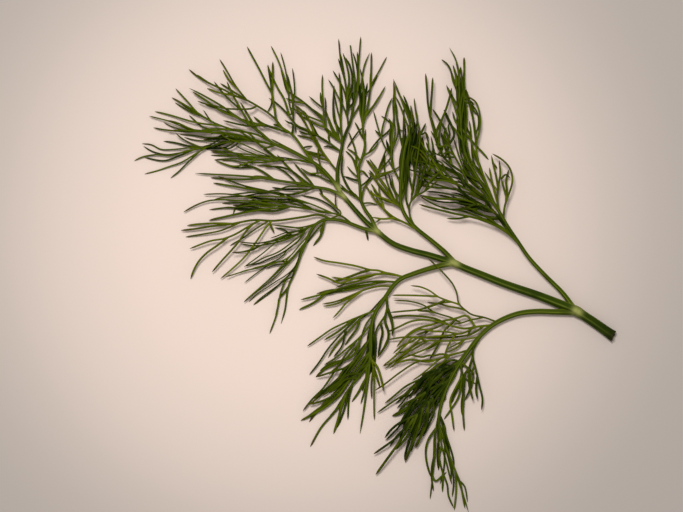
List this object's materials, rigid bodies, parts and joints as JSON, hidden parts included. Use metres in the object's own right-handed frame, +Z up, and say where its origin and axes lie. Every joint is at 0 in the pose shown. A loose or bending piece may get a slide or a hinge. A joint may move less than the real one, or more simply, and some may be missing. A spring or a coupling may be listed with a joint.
{
  "type": "dill sprig",
  "caption": "Cut sprig of fresh dill lying flat: a green main stalk with side stalks in pairs, each carrying sprays of thread-like leaflets.",
  "frame": {"origin": "middle of the sprig's outline on the table it lies on, so that the table is at z = 0", "axes": "+Z up from the table. The cut end of the main stalk points to +X and a little to -Y. The tips of the leaf point to -X and +Y."},
  "size_m": [0.135, 0.1332, 0.0069],
  "materials": {
    "stalk": "fresh green herb stalk, finely ribbed, slightly glossy",
    "side_stalk": "thin fresh green stalk, slightly glossy",
    "leaf": "dark green leaf threads, slightly glossy",
    "young_leaf": "olive to yellow-green leaf threads, slightly glossy"
  },
  "bodies": {
    "root": {"main_stalk": "stalk", "right_1_stalk": "side_stalk", "left_1_stalk": "side_stalk", "right_2_stalk": "side_stalk", "left_2_stalk": "side_stalk", "right_3_stalk": "side_stalk", "left_3_stalk": "side_stalk", "far_stalk": "side_stalk", "low_stalk": "side_stalk", "right_1_arch_spray": "leaf", "right_1_loop_spray": "young_leaf", "right_1_inner_spray": "young_leaf", "right_1_tall_spray": "leaf", "right_1_fan_spray": "leaf", "right_1_low_spray": "leaf", "right_1_under_spray": "leaf", "left_1_long_spray": "young_leaf", "left_1_net_spray": "young_leaf", "left_1_cross_spray": "young_leaf", "left_1_lone_spray": "young_leaf", "left_1_dense_spray": "leaf", "left_1_bottom_spray": "leaf", "left_1_side_spray": "leaf", "left_1_low_side_spray": "leaf", "right_2_bend_spray": "leaf", "right_2_left_spray": "leaf", "right_2_low_spray": "young_leaf", "right_2_web_spray": "young_leaf", "left_2_upper_spray": "young_leaf", "left_2_mid_spray": "leaf", "left_2_side_spray": "young_leaf", "left_2_brush_spray_1": "leaf", "left_2_brush_spray_2": "leaf", "left_2_brush_spray_3": "leaf", "left_2_brush_spray_4": "leaf", "left_2_brush_spray_5": "leaf", "left_2_inner_spray": "young_leaf", "left_2_edge_spray": "leaf", "left_3_band_spray": "leaf", "left_3_thread_spray": "young_leaf", "left_3_fan_spray": "leaf", "left_3_low_spray": "leaf", "top_left_spray": "leaf", "top_mid_spray": "leaf", "mid_left_spray": "leaf", "branch_spray": "young_leaf", "inner_feather_spray": "leaf", "middle_feather_spray": "leaf", "outer_feather_spray": "young_leaf", "far_upper_spray": "leaf", "far_band_spray": "leaf", "near_band_spray": "leaf"}
  },
  "joints": []
}
